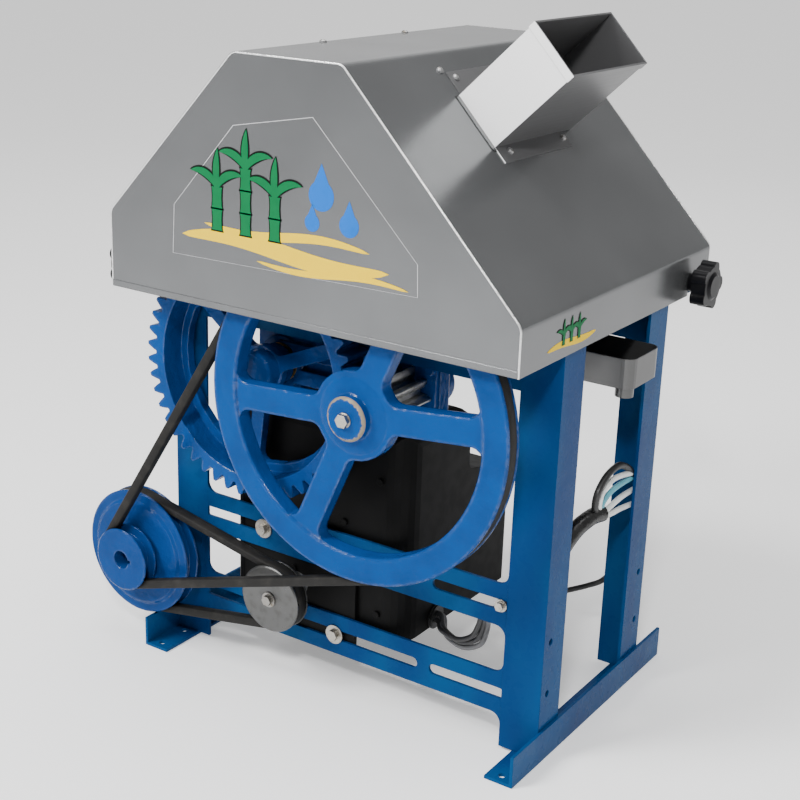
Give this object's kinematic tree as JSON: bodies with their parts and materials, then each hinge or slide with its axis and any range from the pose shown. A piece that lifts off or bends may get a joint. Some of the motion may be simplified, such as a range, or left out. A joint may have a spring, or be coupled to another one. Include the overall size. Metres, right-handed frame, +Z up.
{
  "type": "sugarcane crushing mill",
  "caption": "Floor-standing sugarcane crusher: blue angle-iron stand, geared rollers under a stainless hood with a feed chute, and a belt-driven spoked flywheel.",
  "frame": {"origin": "centre of the four corner anchor holes, on the floor plane", "axes": "+X to the machine's right, where the juice leaves, +Y to the rear, away from the flywheel, +Z up"},
  "size_m": [0.7158, 0.4925, 0.8614],
  "materials": {
    "blue_frame": "gloss enamel on sheet steel",
    "blue_casting": "gloss enamel on rough cast iron",
    "zinc_bolt": "zinc plated, worn",
    "stainless_sheet": "brushed stainless sheet",
    "small_screw": "bright steel",
    "gear_steel": "cut steel teeth, oiled",
    "shaft_steel": "turned steel",
    "roller_steel": "ground steel",
    "black_cover": "satin black",
    "motor_grey": "grey paint",
    "bronze_bush": "turned bronze",
    "pulley_iron": "turned grey iron",
    "black_knob": "moulded black",
    "belt_rubber": "matt rubber",
    "cable_black": "matt black",
    "cable_grey": "grey sheath"
  },
  "bodies": {
    "stand": {"left_foot_rail": "blue_frame", "right_foot_rail": "blue_frame", "front_left_leg": "blue_frame", "front_right_leg": "blue_frame", "rear_left_leg": "blue_frame", "rear_right_leg": "blue_frame", "upper_slotted_rail": "blue_frame", "lower_slotted_rail": "blue_frame", "front_top_rail": "blue_frame", "rear_top_rail": "blue_frame", "left_side_rail": "blue_frame", "right_side_rail": "blue_frame", "rail_bolts": "zinc_bolt", "motor_plate": "black_cover", "motor_cover": "black_cover", "cover_screws": "black_cover", "motor_body": "motor_grey", "front_cheek": "blue_casting", "rear_cheek": "blue_casting", "cheek_bolts": "zinc_bolt", "drive_bracket": "blue_casting", "rear_bracket": "blue_casting", "drive_housing": "blue_casting", "tie_rods": "zinc_bolt", "shaft_bushes": "bronze_bush", "trash_plate": "roller_steel", "pressure_screws": "zinc_bolt", "juice_tray": "stainless_sheet", "axle_bracket": "blue_frame", "stub_axle": "shaft_steel", "flywheel_belt": "belt_rubber", "motor_belt": "belt_rubber", "lead_grommet": "cable_black", "lead_loom": "cable_grey", "splice_leads": "cable_black", "black_cord": "cable_black"},
    "flywheel_set": {"flywheel": "blue_casting", "flywheel_shaft": "shaft_steel", "drive_pinion": "gear_steel", "hub_bolt": "zinc_bolt"},
    "bull_gear_set": {"bull_gear": "blue_casting", "bull_shaft": "shaft_steel", "transfer_pinion": "gear_steel"},
    "top_roller_set": {"top_roller": "roller_steel", "top_roller_gear": "gear_steel"},
    "feed_roller_set": {"feed_roller": "roller_steel", "feed_roller_gear": "gear_steel"},
    "discharge_roller_set": {"discharge_roller": "roller_steel", "discharge_roller_gear": "gear_steel", "transfer_gear": "gear_steel"},
    "step_pulley_set": {"step_pulley": "blue_casting"},
    "motor_rotor": {"motor_pulley": "pulley_iron", "motor_shaft": "shaft_steel"},
    "hood": {"hood_shell": "stainless_sheet", "hood_clips": "stainless_sheet", "feed_chute": "stainless_sheet", "chute_rivets": "small_screw", "ridge_screws": "small_screw"},
    "left_knob_set": {"left_knob": "black_knob"},
    "right_knob_set": {"right_knob": "black_knob"}
  },
  "joints": [
    {"name": "bull_gear_turn", "type": "hinge", "parent": "stand", "child": "bull_gear_set", "pos_m": [-0.1245, -0.16, 0.419], "axis": [0, 1, 0], "continuous": true},
    {"name": "flywheel_turn", "type": "hinge", "parent": "stand", "child": "flywheel_set", "pos_m": [0.064, -0.2, 0.419], "axis": [0, 1, 0], "continuous": true},
    {"name": "discharge_roller_turn", "type": "hinge", "parent": "stand", "child": "discharge_roller_set", "pos_m": [-0.107, 0, 0.58005], "axis": [0, 1, 0], "continuous": true},
    {"name": "top_roller_turn", "type": "hinge", "parent": "stand", "child": "top_roller_set", "pos_m": [-0.049, 0, 0.64081], "axis": [0, 1, 0], "continuous": true},
    {"name": "feed_roller_turn", "type": "hinge", "parent": "stand", "child": "feed_roller_set", "pos_m": [0.009, 0, 0.58005], "axis": [0, 1, 0], "continuous": true},
    {"name": "step_pulley_turn", "type": "hinge", "parent": "stand", "child": "step_pulley_set", "pos_m": [-0.308, -0.19, 0.13], "axis": [0, 1, 0], "continuous": true},
    {"name": "motor_turn", "type": "hinge", "parent": "stand", "child": "motor_rotor", "pos_m": [-0.082, -0.17, 0.128], "axis": [0, 1, 0], "continuous": true},
    {"name": "hood_lift", "type": "slide", "parent": "stand", "child": "hood", "axis": [0, 0, 1], "range_m": [0, 0.25]},
    {"name": "left_knob_turn", "type": "hinge", "parent": "stand", "child": "left_knob_set", "pos_m": [-0.3, -0.191, 0.533], "axis": [-1, 0, 0], "continuous": true},
    {"name": "right_knob_turn", "type": "hinge", "parent": "stand", "child": "right_knob_set", "pos_m": [0.3, 0.191, 0.533], "axis": [1, 0, 0], "continuous": true}
  ],
  "couplings": [
    {"joint": "flywheel_turn", "follows": "bull_gear_turn", "ratio": -4.8},
    {"joint": "discharge_roller_turn", "follows": "bull_gear_turn", "ratio": -0.6875},
    {"joint": "top_roller_turn", "follows": "bull_gear_turn", "ratio": 0.6875},
    {"joint": "feed_roller_turn", "follows": "bull_gear_turn", "ratio": -0.6875},
    {"joint": "step_pulley_turn", "follows": "bull_gear_turn", "ratio": -25.692},
    {"joint": "motor_turn", "follows": "bull_gear_turn", "ratio": -53.396}
  ]
}
